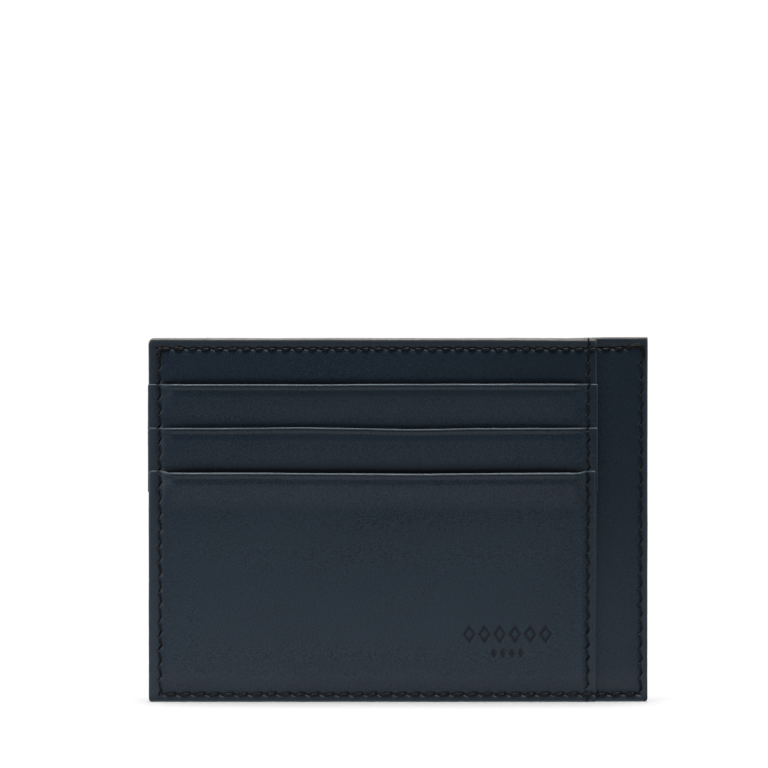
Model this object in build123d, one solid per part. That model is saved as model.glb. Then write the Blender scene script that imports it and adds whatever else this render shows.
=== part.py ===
"""A flat leather card holder.

Two sewn halves stand back to back around a note pocket that is open at the top. Each half
carries three card slots beside a plain strip. The part stands on its long lower edge:
X runs along the width, Z up the height, and the front half faces -Y.

Inside one half, "depth" is the distance outward from the middle plane (y = 0). The sheets are
stacked by depth, from the pocket lining out to the lower pocket panel.
"""
from build123d import *
import os

# Outline of the whole holder, in mm
WIDTH = 103.0
HEIGHT = 75.0
CORNER_RADIUS = 0.5
HALF_WIDTH = WIDTH / 2

# Card block: the part of a half that carries the slots, flush with one side edge
BLOCK_WIDTH = 92.5
BLOCK_LEFT = -HALF_WIDTH
BLOCK_RIGHT = BLOCK_LEFT + BLOCK_WIDTH

# Sheet thicknesses, skived leather and thin textile
LINING = 0.15
BASE_LEATHER = 0.7
BACKING_LEATHER = 0.45
TAIL_TEXTILE = 0.1
STRIP_LEATHER = 0.45
POCKET_LEATHER = 0.55

# Slots: a card stands about 8 mm proud of the mouth, and each mouth is one step lower
MOUTH_STEP = 9.15
MOUTH_1 = 65.7
MOUTH_2 = MOUTH_1 - MOUTH_STEP
MOUTH_3 = MOUTH_2 - MOUTH_STEP
STRIP_HEIGHT = 13.1
STRIP_TAIL_LAP = 4.0
FLOOR_1 = 18.0
FLOOR_2 = 9.0
TAIL_SIDE_INSET = 3.0
SLOT_SLACK = 0.1
LIFT_LENGTH = 1.6
SEWN_FOOT = 4.0

# Creased line that follows each mouth
CREASE_BELOW_MOUTH = 1.5
CREASE_WIDTH = 0.6
CREASE_DEPTH = 0.1

# Blind-stamped plain border on the front lower pocket: a row of open lozenges over a shorter
# row of small solid ones
MARK_X = 22.6
MARK_DEPTH = 0.12
MARK_LINE = 0.55
OPEN_ROW_Z = 14.1
OPEN_COUNT = 6
OPEN_PITCH = 3.15
OPEN_SIZE = (2.7, 4.0)
SOLID_ROW_Z = 10.1
SOLID_COUNT = 4
SOLID_PITCH = 1.85
SOLID_SIZE = (1.3, 2.2)

# Seams: distance from the edge they follow, thread and stitch sizes
SIDE_SEAM_INSET = 2.3
STRIP_SEAM_INSET = 1.25
BOTTOM_SEAM_INSET = 1.7
TOP_SEAM_INSET = 1.9
DIVIDER_INSET = 1.85
PERIMETER_PITCH = 3.0
INNER_PITCH = 2.77
THREAD = 0.45
STITCH_RISE = 0.25
STITCH_GAP = 0.6
TAIL_SEAM_ABOVE_FLOOR = 1.5

# Depths of the stack, from the middle plane outward
BASE_FRONT = LINING + BASE_LEATHER
BACKING_FRONT = BASE_FRONT + BACKING_LEATHER
TAIL_1_FRONT = BACKING_FRONT + TAIL_TEXTILE
STRIP_1_FRONT = TAIL_1_FRONT + STRIP_LEATHER
TAIL_2_FRONT = TAIL_1_FRONT + SLOT_SLACK + TAIL_TEXTILE
STRIP_2_LOW_FRONT = TAIL_2_FRONT + STRIP_LEATHER
STRIP_2_FRONT = STRIP_1_FRONT + SLOT_SLACK + STRIP_LEATHER
POCKET_FOOT_FRONT = BACKING_FRONT + POCKET_LEATHER
POCKET_FRONT = TAIL_2_FRONT + SLOT_SLACK + POCKET_LEATHER
POCKET_MOUTH_FRONT = STRIP_2_LOW_FRONT + SLOT_SLACK + POCKET_LEATHER


def box(x_range, depth_range, z_range):
    """A solid block of the front half, between two depths."""
    length = x_range[1] - x_range[0]
    thickness = depth_range[1] - depth_range[0]
    height = z_range[1] - z_range[0]
    corner = Align.MIN
    block = Box(length, thickness, height, align=(corner, corner, corner))
    return Pos(x_range[0], -depth_range[1], z_range[0]) * block


def formed_sheet(x_range, front_line, thickness):
    """A sheet whose front face follows front_line, points (z, depth) from bottom to top."""
    front = [(-depth, z) for z, depth in front_line]
    rear = [(-(depth - thickness), z) for z, depth in reversed(front_line)]
    outline = Polyline(*front, *rear, close=True)
    profile = Plane.YZ.offset(x_range[0]) * make_face(outline)
    return extrude(profile, x_range[1] - x_range[0], dir=(1, 0, 0))


def round_corners(sheet):
    """Round the sheet's corners where they are corners of the whole holder."""
    def at_holder_corner(edge):
        middle = edge.center()
        on_side = abs(abs(middle.X) - HALF_WIDTH) < 0.01
        on_end = abs(middle.Z) < 0.01 or abs(middle.Z - HEIGHT) < 0.01
        return on_side and on_end

    corners = sheet.edges().filter_by(Axis.Y).filter_by(at_holder_corner)
    return fillet(corners, CORNER_RADIUS)


def crease(sheet, mouth, front_depth):
    """Press the creased line into the face below a slot's mouth."""
    middle = mouth - CREASE_BELOW_MOUTH
    groove = box((BLOCK_LEFT, BLOCK_RIGHT), (front_depth - CREASE_DEPTH, front_depth),
                 (middle - CREASE_WIDTH / 2, middle + CREASE_WIDTH / 2))
    return sheet - groove


def lozenge(width, height):
    """A flat diamond of the given size, facing +Z."""
    return make_face(Polyline((-width / 2, 0), (0, -height / 2), (width / 2, 0), (0, height / 2),
                              close=True))


def open_lozenge(width, height):
    """A diamond-shaped ring with a line of even width."""
    slope = (width ** 2 + height ** 2) ** 0.5
    inner_width = width - 2 * MARK_LINE * slope / height
    inner_height = height - 2 * MARK_LINE * slope / width
    return lozenge(width, height) - lozenge(inner_width, inner_height)


def stamp_mark(panel):
    """Press the two rows of the plain border into the lower pocket."""
    rows = ((open_lozenge(*OPEN_SIZE), OPEN_ROW_Z, OPEN_COUNT, OPEN_PITCH),
            (lozenge(*SOLID_SIZE), SOLID_ROW_Z, SOLID_COUNT, SOLID_PITCH))
    for shape, z, count, pitch in rows:
        for index in range(count):
            x = MARK_X + (index - (count - 1) / 2) * pitch
            face_plane = Plane((x, -POCKET_FRONT, z), x_dir=(1, 0, 0), z_dir=(0, -1, 0))
            panel = panel - extrude(face_plane * shape, -MARK_DEPTH)
    return panel


def stitch_starts(start, end, pitch):
    """Evenly spaced stitch middles between two ends of a seam, and the length of one stitch."""
    count = round((end - start) / pitch)
    step = (end - start) / count
    return [start + (index + 0.5) * step for index in range(count)], step - STITCH_GAP


def level_seam(x_range, z, depth_at, pitch):
    """A stitch row along X: one small block of thread for each stitch."""
    middles, length = stitch_starts(x_range[0], x_range[1], pitch)
    half = THREAD / 2
    return [box((x - length / 2, x + length / 2), (depth_at(x), depth_at(x) + STITCH_RISE),
                (z - half, z + half)) for x in middles]


def upright_seam(x, z_range, depth_at, pitch):
    """A stitch row up Z, each stitch lying on the highest sheet that it crosses."""
    middles, length = stitch_starts(z_range[0], z_range[1], pitch)
    half = THREAD / 2
    stitches = []
    for z in middles:
        depth = max(depth_at(z - length / 2), depth_at(z), depth_at(z + length / 2))
        stitches.append(box((x - half, x + half), (depth, depth + STITCH_RISE),
                            (z - length / 2, z + length / 2)))
    return stitches


def interpolate(line, z):
    """Depth of a front line, points (z, depth), at height z."""
    for (z_low, depth_low), (z_high, depth_high) in zip(line, line[1:]):
        if z_low <= z <= z_high:
            share = (z - z_low) / (z_high - z_low)
            return depth_low + share * (depth_high - depth_low)
    return None


def strip_2_line():
    """Front face of the second strip: low on its own tail, then out over the first strip."""
    bottom = MOUTH_2 - STRIP_HEIGHT
    lap = MOUTH_1 - STRIP_HEIGHT
    return [(bottom, STRIP_2_LOW_FRONT), (lap - LIFT_LENGTH, STRIP_2_LOW_FRONT),
            (lap, STRIP_2_FRONT), (MOUTH_2, STRIP_2_FRONT)]


def pocket_line():
    """Front face of the lower pocket: sewn foot, slack body, then out over the second strip."""
    lap = MOUTH_2 - STRIP_HEIGHT
    return [(0, POCKET_FOOT_FRONT), (SEWN_FOOT, POCKET_FOOT_FRONT),
            (SEWN_FOOT + LIFT_LENGTH, POCKET_FRONT), (lap - LIFT_LENGTH, POCKET_FRONT),
            (lap, POCKET_MOUTH_FRONT), (MOUTH_3, POCKET_MOUTH_FRONT)]


def block_face(z):
    """Depth of the outermost face of the card block at height z."""
    if z <= MOUTH_3:
        return interpolate(pocket_line(), z)
    if z <= MOUTH_2:
        return interpolate(strip_2_line(), z)
    if z <= MOUTH_1:
        return STRIP_1_FRONT
    return BACKING_FRONT


def holder_face(x):
    """Depth of the outermost face along the top of a half: card block or plain strip."""
    return BACKING_FRONT if x < BLOCK_RIGHT else BASE_FRONT


def panels(stamped):
    """The leather and textile sheets of one half."""
    full = (-HALF_WIDTH, HALF_WIDTH)
    block = (BLOCK_LEFT, BLOCK_RIGHT)
    tail = (BLOCK_LEFT + TAIL_SIDE_INSET, BLOCK_RIGHT - TAIL_SIDE_INSET)
    upright = (0, HEIGHT)
    strip_1_bottom = MOUTH_1 - STRIP_HEIGHT
    strip_2_bottom = MOUTH_2 - STRIP_HEIGHT
    lower_pocket = round_corners(formed_sheet(block, pocket_line(), POCKET_LEATHER))
    lower_pocket = crease(lower_pocket, MOUTH_3, POCKET_MOUTH_FRONT)
    if stamped:
        lower_pocket = stamp_mark(lower_pocket)
    strip_1 = box(block, (TAIL_1_FRONT, STRIP_1_FRONT), (strip_1_bottom, MOUTH_1))
    strip_2 = formed_sheet(block, strip_2_line(), STRIP_LEATHER)
    return {
        "pocket_lining": round_corners(box(full, (0, LINING), upright)),
        "base_panel": round_corners(box(full, (LINING, BASE_FRONT), upright)),
        "block_backing": round_corners(box(block, (BASE_FRONT, BACKING_FRONT), upright)),
        "slot1_tail": box(tail, (BACKING_FRONT, TAIL_1_FRONT),
                          (FLOOR_1, strip_1_bottom + STRIP_TAIL_LAP)),
        "slot1_strip": crease(strip_1, MOUTH_1, STRIP_1_FRONT),
        "slot2_tail": box(tail, (TAIL_2_FRONT - TAIL_TEXTILE, TAIL_2_FRONT),
                          (FLOOR_2, strip_2_bottom + STRIP_TAIL_LAP)),
        "slot2_strip": crease(strip_2, MOUTH_2, STRIP_2_FRONT),
        "lower_pocket": lower_pocket,
    }


def tail_seams():
    """Hidden stitch rows that close the floors of slots 1 and 2."""
    span = (BLOCK_LEFT + 2 * TAIL_SIDE_INSET, BLOCK_RIGHT - 2 * TAIL_SIDE_INSET)
    seams = {}
    for name, floor, front in (("slot1_tail_thread", FLOOR_1, TAIL_1_FRONT),
                               ("slot2_tail_thread", FLOOR_2, TAIL_2_FRONT)):
        middles, length = stitch_starts(span[0], span[1], PERIMETER_PITCH)
        z = floor + TAIL_SEAM_ABOVE_FLOOR
        seams[name] = [box((x - length / 2, x + length / 2), (front, front + SLOT_SLACK),
                           (z - THREAD / 2, z + THREAD / 2)) for x in middles]
    return seams


def visible_seams():
    """Stitch rows that lie on the outside of one half."""
    side_x = -HALF_WIDTH + SIDE_SEAM_INSET
    strip_x = HALF_WIDTH - STRIP_SEAM_INSET
    divider_x = BLOCK_RIGHT - DIVIDER_INSET
    bottom_z = BOTTOM_SEAM_INSET
    top_z = HEIGHT - TOP_SEAM_INSET
    clear = THREAD

    def bottom_face(x):
        return POCKET_FOOT_FRONT if x < BLOCK_RIGHT else BASE_FRONT

    perimeter = upright_seam(side_x, (bottom_z + clear, top_z - clear), block_face, PERIMETER_PITCH)
    perimeter += level_seam((side_x, divider_x - clear), bottom_z, bottom_face, PERIMETER_PITCH)
    perimeter += level_seam((BLOCK_RIGHT + clear, strip_x), bottom_z, bottom_face, PERIMETER_PITCH)
    perimeter += upright_seam(strip_x, (bottom_z + clear, top_z - clear), lambda z: BASE_FRONT,
                              PERIMETER_PITCH)
    top = level_seam((side_x, divider_x - clear), top_z, holder_face, INNER_PITCH)
    top += level_seam((BLOCK_RIGHT + clear, strip_x), top_z, holder_face, INNER_PITCH)
    divider = upright_seam(divider_x, (0, HEIGHT), block_face, INNER_PITCH)
    return {
        "perimeter_thread": perimeter,
        "top_seam_thread": top,
        "divider_seam_thread": divider,
    }


def half(stamped):
    """Every piece of one half, by name, facing -Y."""
    pieces = panels(stamped)
    for name, stitches in {**tail_seams(), **visible_seams()}.items():
        pieces[name] = Compound(children=stitches)
    return pieces


os.makedirs("parts", exist_ok=True)
for side, turn in (("front", 0), ("back", 180)):
    for name, piece in half(stamped=side == "front").items():
        export_step(Rot(0, 0, turn) * piece, f"parts/{side}_{name}.step")
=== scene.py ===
"""A flat leather card holder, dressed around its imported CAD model.

Lengths are in millimetres inside the helpers and become metres when a mesh is made. Each half of
the holder is built facing -Y in its own frame (x along the width, z up, depth outward from the
middle plane). The back half is built in the same way and then turned half round about Z.
"""
import math
import random

import bmesh
import bpy
import numpy as np
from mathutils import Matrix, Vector


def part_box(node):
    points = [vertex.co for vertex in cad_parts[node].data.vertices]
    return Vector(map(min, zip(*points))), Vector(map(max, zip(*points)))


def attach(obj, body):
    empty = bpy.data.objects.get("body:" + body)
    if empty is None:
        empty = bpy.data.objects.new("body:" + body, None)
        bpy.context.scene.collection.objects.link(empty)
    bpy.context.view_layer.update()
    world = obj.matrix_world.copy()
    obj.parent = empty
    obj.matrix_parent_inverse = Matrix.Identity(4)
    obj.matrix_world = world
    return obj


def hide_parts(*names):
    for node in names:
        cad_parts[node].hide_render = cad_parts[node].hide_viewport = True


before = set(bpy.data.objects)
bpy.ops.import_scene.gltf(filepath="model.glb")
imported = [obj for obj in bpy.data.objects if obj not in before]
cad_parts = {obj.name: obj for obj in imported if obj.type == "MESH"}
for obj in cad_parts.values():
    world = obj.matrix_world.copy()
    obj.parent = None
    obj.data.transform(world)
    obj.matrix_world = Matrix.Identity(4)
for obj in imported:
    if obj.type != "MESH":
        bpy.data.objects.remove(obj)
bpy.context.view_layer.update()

MM = 0.001
X, Y, Z = 0, 1, 2
SIDES = ("front", "back")


# ---- sizes read from the CAD frame

def cad_range(part, axis):
    """Lowest and highest place of a part of the CAD's front half along an axis, in mm."""
    low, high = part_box(f"front_{part}")
    return low[axis] / MM, high[axis] / MM


def cad_middle(part, axis):
    return sum(cad_range(part, axis)) / 2


def cad_size(part, axis):
    low, high = cad_range(part, axis)
    return high - low


def cad_depth(part):
    """Depth of a part's outer face, in mm from the middle plane."""
    return -cad_range(part, Y)[0]


LEFT, RIGHT = cad_range("base_panel", X)
BOTTOM, TOP = cad_range("base_panel", Z)
BLOCK_RIGHT = cad_range("block_backing", X)[1]
STRIP_1_BOTTOM, MOUTH_1 = cad_range("slot1_strip", Z)
STRIP_2_BOTTOM, MOUTH_2 = cad_range("slot2_strip", Z)
MOUTH_3 = cad_range("lower_pocket", Z)[1]

LINING_DEPTH = cad_depth("pocket_lining")
BASE_DEPTH = cad_depth("base_panel")
BACKING_DEPTH = cad_depth("block_backing")
STRIP_THICKNESS = cad_size("slot1_strip", Y)
TAIL_THICKNESS = cad_size("slot1_tail", Y)
POCKET_EXTRA = 0.1
POCKET_THICKNESS = STRIP_THICKNESS + POCKET_EXTRA

THREAD_WIDTH = cad_size("divider_seam_thread", X)
DIVIDER_X = cad_middle("divider_seam_thread", X)
TOP_SEAM_Z = cad_middle("top_seam_thread", Z)
LEFT_SEAM_X = cad_range("perimeter_thread", X)[0] + THREAD_WIDTH / 2
RIGHT_SEAM_X = cad_range("perimeter_thread", X)[1] - THREAD_WIDTH / 2
BOTTOM_SEAM_Z = cad_range("perimeter_thread", Z)[0] + THREAD_WIDTH / 2


# ---- small maths

def ramp(start, end, value):
    """Smooth step from 0 at start to 1 at end."""
    share = np.clip((value - start) / (end - start), 0, 1)
    return share * share * (3 - 2 * share)


def hump(value, middle, width):
    """Smooth bump of height 1."""
    return np.exp(-((value - middle) / width) ** 2)


def waver(value, seed, longest=34.0, count=5):
    """A gentle hand-made wave between about -1 and 1 along a length."""
    dice = random.Random(seed)
    total = np.zeros_like(np.asarray(value, dtype=float))
    for index in range(count):
        wavelength = longest / (1.7 ** index)
        phase = dice.uniform(0, 2 * math.pi)
        total = total + np.sin(2 * math.pi * value / wavelength + phase) / (1.5 ** index)
    return total / 2.2


# ---- how the soft sheets are formed

SLACK_REACH = 9.0       # how far in from a seam a sheet is fully slack
SLOT_SLACK = 0.34
SLACK_RUN_1 = 9.0       # how far below its mouth a strip's slack dies out
SLACK_RUN_2 = 8.0
POCKET_SLACK = 0.6
POCKET_SWELL = (1.8, 13)
STRIP_1_LIFT = 0.25
STRIP_2_BELLY = 0.36
LIP_REACH = 3.2
LIP_RUN = 8.0
LIP_SLACK = (0.5, 0.5, 1.0)
BRIDGE = 8.0            # how far a sheet takes to come down off the strip under it
TAILS_UNDER_STRIP_2 = 2.1
TAILS_UNDER_POCKET = 2.4
TAILS_START = (2.0, 5.0)
NOTE_POCKET_BOW = 0.3
MARGIN_PRESS = 0.17
MARGIN_RISE = 0.37      # how much higher the lower pocket's mouth is in the sewn margins


def bow(x, z):
    """How far the half stands off the middle plane: closed at the seams, open at the top."""
    across = 1 - np.abs(2 * x / (RIGHT - LEFT)) ** 4
    return NOTE_POCKET_BOW * np.clip(across, 0, 1) * ramp(0, TOP, z)


def between_seams(x, reach, start=0.0):
    """0 in the sewn margins, 1 well between the left seam and the divider seam."""
    from_left = ramp(LEFT_SEAM_X + start, LEFT_SEAM_X + reach, x)
    return from_left * ramp(DIVIDER_X - start, DIVIDER_X - reach, x)


def between_rows(x, reach):
    """0 in the sewn margins and under both rows' stitches, 1 between them."""
    return between_seams(x, reach, 0.3)


def pressing(x, z):
    """Share of its depth that the stack keeps: all of it inside the seams, less at the rim."""
    keep = 1.0
    for value, seam, rim in ((x, LEFT_SEAM_X, LEFT), (x, RIGHT_SEAM_X, RIGHT),
                             (z, BOTTOM_SEAM_Z, BOTTOM), (z, TOP_SEAM_Z, TOP)):
        outward = np.clip((value - seam) / (rim - seam), 0, 1)
        keep = keep * (1 - MARGIN_PRESS * outward ** 2.6)
    return keep


def lip_slack(x, z, mouth, slack):
    """How far a mouth stands open: most at its edge, held shut by the seams at both ends."""
    return slack * between_rows(x, LIP_REACH) * ramp(mouth - LIP_RUN, mouth, z)


def strip_slack(x, z, mouth, run, gap):
    """How far a strip stands off what it covers, most at its mouth."""
    slack = SLOT_SLACK * between_seams(x, SLACK_REACH) * ramp(mouth - run, mouth, z)
    return slack + lip_slack(x, z, mouth, gap)


def lining_body(x, z):
    return LINING_DEPTH + bow(x, z)


def base_body(x, z):
    return BASE_DEPTH + bow(x, z)


def backing_body(x, z):
    return BACKING_DEPTH + bow(x, z)


def tail_lift(x):
    """Room that one textile tail takes between the seams."""
    return TAIL_THICKNESS * between_seams(x, 1.4)


def over_strip(z, strip_bottom, bridge):
    """Extra depth of a sheet that lies over a strip and comes down off its lower edge."""
    return STRIP_THICKNESS * ramp(strip_bottom - bridge, strip_bottom - 0.2, z)


def strip_1_body(x, z):
    slack = strip_slack(x, z, MOUTH_1, SLACK_RUN_1, LIP_SLACK[0])
    slack = slack + STRIP_1_LIFT * between_rows(x, LIP_REACH) * ramp(MOUTH_2 - 1, MOUTH_2 + 5, z)
    return backing_body(x, z) + STRIP_THICKNESS + tail_lift(x) + slack


def strip_2_body(x, z):
    lower = over_strip(z, STRIP_1_BOTTOM, BRIDGE)
    belly = STRIP_2_BELLY * between_rows(x, LIP_REACH) * ramp(MOUTH_3 + 8, MOUTH_3 - 1, z)
    slack = strip_slack(x, z, MOUTH_2, SLACK_RUN_2, LIP_SLACK[1])
    tails = TAILS_UNDER_STRIP_2 * tail_lift(x)
    return backing_body(x, z) + STRIP_THICKNESS + lower + tails + slack + belly


def pocket_body(x, z):
    lower = over_strip(z, STRIP_2_BOTTOM, 2.2 * BRIDGE)
    slack = between_seams(x, SLACK_REACH) * POCKET_SLACK * ramp(*POCKET_SWELL, z)
    slack = slack + lip_slack(x, z, MOUTH_3, LIP_SLACK[2])
    tails = TAILS_UNDER_POCKET * tail_lift(x) * ramp(*TAILS_START, z)
    return backing_body(x, z) + POCKET_THICKNESS + lower + tails + slack


def tail_1_body(x, z):
    return backing_body(x, z) + tail_lift(x)


def tail_2_body(x, z):
    return backing_body(x, z) + 2 * tail_lift(x)


def outer_body(x, z):
    """Depth of whichever sheet is outermost at one place, before fine relief."""
    if x > BLOCK_RIGHT:
        body = base_body
    elif z > MOUTH_1:
        body = backing_body
    elif z > MOUTH_2:
        body = strip_1_body
    elif z > MOUTH_3 + MARGIN_RISE + 0.2:
        body = strip_2_body
    else:
        body = pocket_body
    return float(body(x, z) * pressing(x, z))


# ---- seams

UPRIGHT_TURN = math.radians(33)
LEVEL_TURN = math.radians(24)
TOP_TURN = math.radians(11)
# How strong the painted highlight beside the top row's slits is
TOP_SLIT_HIGHLIGHT = 0.3
PERIMETER_PITCH = 3.0
RIGHT_PITCH = 3.12
INNER_PITCH = 2.77
PITCH_ERROR = 0.09
ROW_ERROR = 0.05
TURN_ERROR = (0.8, 1.2)
CORNER_RUN = 3.3
CORNER_DROP = 2.95

# Where the rows start and end. They stray a little from the CAD's straight rows.
LEFT_ROW = ((LEFT_SEAM_X - 0.12, TOP_SEAM_Z - 1.0), (LEFT_SEAM_X + 0.02, BOTTOM_SEAM_Z + 0.2))
BOTTOM_ROW = ((LEFT_SEAM_X + 0.8, BOTTOM_SEAM_Z - 0.12),
              (RIGHT_SEAM_X - 0.8, BOTTOM_SEAM_Z - 0.08))
RIGHT_ROW = ((RIGHT_SEAM_X - 0.24, BOTTOM_SEAM_Z + 0.6),
             (RIGHT_SEAM_X - 0.06, TOP_SEAM_Z - CORNER_DROP))
TOP_ROW = ((LEFT_SEAM_X - 0.1, TOP_SEAM_Z - 0.14), (RIGHT_SEAM_X - CORNER_RUN, TOP_SEAM_Z - 0.14))
DIVIDER_ROW = ((DIVIDER_X + 0.12, TOP - 1.5), (DIVIDER_X - 0.12, BOTTOM + 0.35))

SLIT_HALF_LENGTH = 0.55
SLIT_HALF_WIDTH = 0.17
SLIT_DEPTH = 0.42
# What differs by a row's direction: where on a slit the thread comes out (as a share of its half
# length), the width of a slit's painted shade, depth and width of furrow and trench, start and run
# of the painted highlight beside each slit
LEVEL = {"exit": 0.85, "mark": 0.16, "furrow": (0.25, 0.8), "trench": (0.09, 0.22),
         "painted_highlight": ((-0.15, -0.24), (0.7, -0.26))}
UPRIGHT = {"exit": 0.8, "mark": 0.22, "furrow": (0.12, 0.6), "trench": (0.08, 0.2),
           "painted_highlight": ((-0.42, -0.3), (0.1, 0.2))}
# Strength and width of the painted highlight beside each slit
SLIT_HIGHLIGHT_SHARE = 0.8
SLIT_HIGHLIGHT_WIDTH = 0.12


def is_upright(run):
    return abs(run.y) > abs(run.x)


class Seam:
    """A straight lockstitch row: slanted needle slits, and a stitch from each slit to the next."""

    # The strength given scales the painted highlight beside this row's slits.
    def __init__(self, ends, pitch, seed, turn, shine=1.0):
        dice = random.Random(seed)
        self.shine = shine
        start, end = Vector(ends[0]), Vector(ends[1])
        run = end - start
        count = max(1, round(run.length / pitch))
        self.travel = run.normalized()
        self.look = UPRIGHT if is_upright(self.travel) else LEVEL
        across = Vector((-self.travel.y, self.travel.x))
        self.slits = []
        for index in range(count + 1):
            loose = 0 if index in (0, count) else 1
            place = start + run * index / count
            place += self.travel * dice.uniform(-PITCH_ERROR, PITCH_ERROR) * loose
            place += across * dice.uniform(-ROW_ERROR, ROW_ERROR)
            slant = turn * dice.uniform(*TURN_ERROR)
            slit = self.travel * math.cos(slant) - across * math.sin(slant)
            self.slits.append((place, slit))

    def stitches(self):
        """Ends of each visible stitch, from slit to slit."""
        pairs = zip(self.slits, self.slits[1:])
        reach = SLIT_HALF_LENGTH * self.look["exit"]
        return [(here + slit * reach, there - next_slit * reach)
                for (here, slit), (there, next_slit) in pairs]

    def whole_line(self):
        return [(self.slits[0][0], self.slits[-1][0])]

    def slit_lines(self):
        return [(place - slit * SLIT_HALF_LENGTH, place + slit * SLIT_HALF_LENGTH)
                for place, slit in self.slits]

    def highlight_lines(self):
        """Both ends of the painted highlight beside each slit."""
        offset, run = (Vector(part) for part in self.look["painted_highlight"])
        return [(place + offset, place + offset + run) for place, _ in self.slits]


PERIMETER = [Seam(LEFT_ROW, PERIMETER_PITCH, 11, UPRIGHT_TURN),
             Seam(BOTTOM_ROW, PERIMETER_PITCH, 12, LEVEL_TURN),
             Seam(RIGHT_ROW, RIGHT_PITCH, 13, UPRIGHT_TURN)]
TOP_SEAM = Seam(TOP_ROW, INNER_PITCH, 21, TOP_TURN, TOP_SLIT_HIGHLIGHT)
DIVIDER = Seam(DIVIDER_ROW, INNER_PITCH, 31, UPRIGHT_TURN)
ALL_SEAMS = [*PERIMETER, TOP_SEAM, DIVIDER]


# ---- fine relief of the leather

# Places below a mouth: where its bead starts, where it is full, the trough, the crease's end
EDGE_FLAT = 0.15
BEAD_BELOW = 0.5
TROUGH_BELOW = 1.3
CREASE_END = 2.7
CREASE_REACH = 1.8
BEAD_HEIGHT = 0.1
TROUGH_DEPTH = 0.13
HIDE_UNEVENNESS = 0.012

MARK_X = 22.6
MARK_DEPTH = 0.18
OPEN_ROW_Z = 14.1
SOLID_ROW_Z = 10.1


def near(values, low, high):
    """The slice of a sorted list of stations between two places."""
    return slice(int(np.searchsorted(values, low)), int(np.searchsorted(values, high)))


def press_line(relief, grid, start, end, depth, width):
    """Press a rounded line into the relief, between two points."""
    run = end - start
    unit = run.normalized()
    reach = 3 * width
    in_x = near(grid.xs, min(start.x, end.x) - reach, max(start.x, end.x) + reach)
    in_z = near(grid.zs, min(start.y, end.y) - reach, max(start.y, end.y) + reach)
    gx, gz = grid.gx[in_x, in_z] - start.x, grid.gz[in_x, in_z] - start.y
    along = np.clip(gx * unit.x + gz * unit.y, 0, run.length)
    away = np.hypot(gx - along * unit.x, gz - along * unit.y)
    relief[in_x, in_z] = np.minimum(relief[in_x, in_z], -depth * np.exp(-(away / width) ** 2))


def pressed(grid, lines_of, size_of):
    """Relief of lines pressed along every seam, whose depth and width size_of gives."""
    relief = np.zeros_like(grid.gx)
    for seam in ALL_SEAMS:
        for start, end in lines_of(seam):
            press_line(relief, grid, start, end, *size_of(seam))
    return relief


def painted_slit_shade(grid):
    """Painted shade: 1 in the needle slits of every seam and 0 away from them."""
    return -pressed(grid, Seam.slit_lines, lambda seam: (1.0, seam.look["mark"]))


def slit_highlight_amount(grid):
    """Above 0 on the painted highlight beside each needle slit."""
    return -pressed(grid, Seam.highlight_lines, lambda seam: (SLIT_HIGHLIGHT_SHARE * seam.shine, SLIT_HIGHLIGHT_WIDTH))


def seam_relief(grid):
    """Furrow, thread trenches and needle slits of every seam."""
    furrow = pressed(grid, Seam.whole_line, lambda seam: seam.look["furrow"])
    trench = pressed(grid, Seam.stitches, lambda seam: seam.look["trench"])
    slits = pressed(grid, Seam.slit_lines, lambda seam: (SLIT_DEPTH, SLIT_HALF_WIDTH))
    return furrow + np.minimum(trench, slits)


def crease_relief(gx, gz, mouth):
    """The bead along a mouth and the creased trough under it, between the seams."""
    below = mouth - gz
    bead = BEAD_HEIGHT * ramp(EDGE_FLAT, BEAD_BELOW, below)
    down = (BEAD_HEIGHT + TROUGH_DEPTH) * ramp(BEAD_BELOW, TROUGH_BELOW, below)
    back = TROUGH_DEPTH * ramp(TROUGH_BELOW, CREASE_END, below)
    return (bead - down + back) * between_rows(gx, CREASE_REACH)


def lozenge_inside(gx, gz, middle, size):
    """Distance inside the sides of a diamond, in mm; negative outside it."""
    width, height = size
    ratio = np.abs(gx - middle[0]) * 2 / width + np.abs(gz - middle[1]) * 2 / height
    return (1 - ratio) * width * height / math.hypot(width, height) / 2


def mark_relief(gx, gz):
    """A plain blind-stamped border: a row of open lozenges over a row of small solid ones."""
    soft = 0.1
    total = np.zeros_like(gx)
    for z, count, pitch, size, line in (
            (OPEN_ROW_Z, 6, 3.15, (2.7, 4.0), 0.55), (SOLID_ROW_Z, 4, 1.85, (1.3, 2.2), None)):
        for index in range(count):
            x = MARK_X + (index - (count - 1) / 2) * pitch
            inside = lozenge_inside(gx, gz, (x, z), size)
            share = ramp(-soft, soft, inside)
            if line:
                share = share * ramp(line + soft, line - soft, inside)
            total = total + 0.02 * hump(inside, -0.3, 0.25) - MARK_DEPTH * share
    return total


def pressed_share(gx, gz):
    """1 in the pressed lines of the stamped border and 0 outside them."""
    return np.clip(-mark_relief(gx, gz) / MARK_DEPTH, 0, 1)


def grain_relief(gx, gz, seed):
    """Slow unevenness of the hide, a few hundredths of a millimetre."""
    first = HIDE_UNEVENNESS * waver(gx + 0.6 * gz, seed, 19)
    return first + HIDE_UNEVENNESS * waver(gz - 0.4 * gx, seed + 1, 13)


# ---- sheet meshes

PLAIN_STEP = 1.2
EDGE_RINGS = 5
REAR_STRIDE = 4
EDGE_ROUND = 0.46       # radius of a rounded edge, as a share of the sheet's thickness
EDGE_REACH = 0.3


def stations(low, high, zones, step):
    """Places from low to high, with the finest step of any zone (from, to, step) they are in."""
    places = [low]
    while places[-1] < high - 1e-6:
        here = places[-1]
        steps = [step] + [fine for start, end, fine in zones if start - fine <= here <= end]
        places.append(here + min(steps))
    if len(places) > 2 and places[-1] - high > 0.5 * (places[-1] - places[-2]):
        places.pop()
    places[-1] = high
    return np.array(places)


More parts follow.
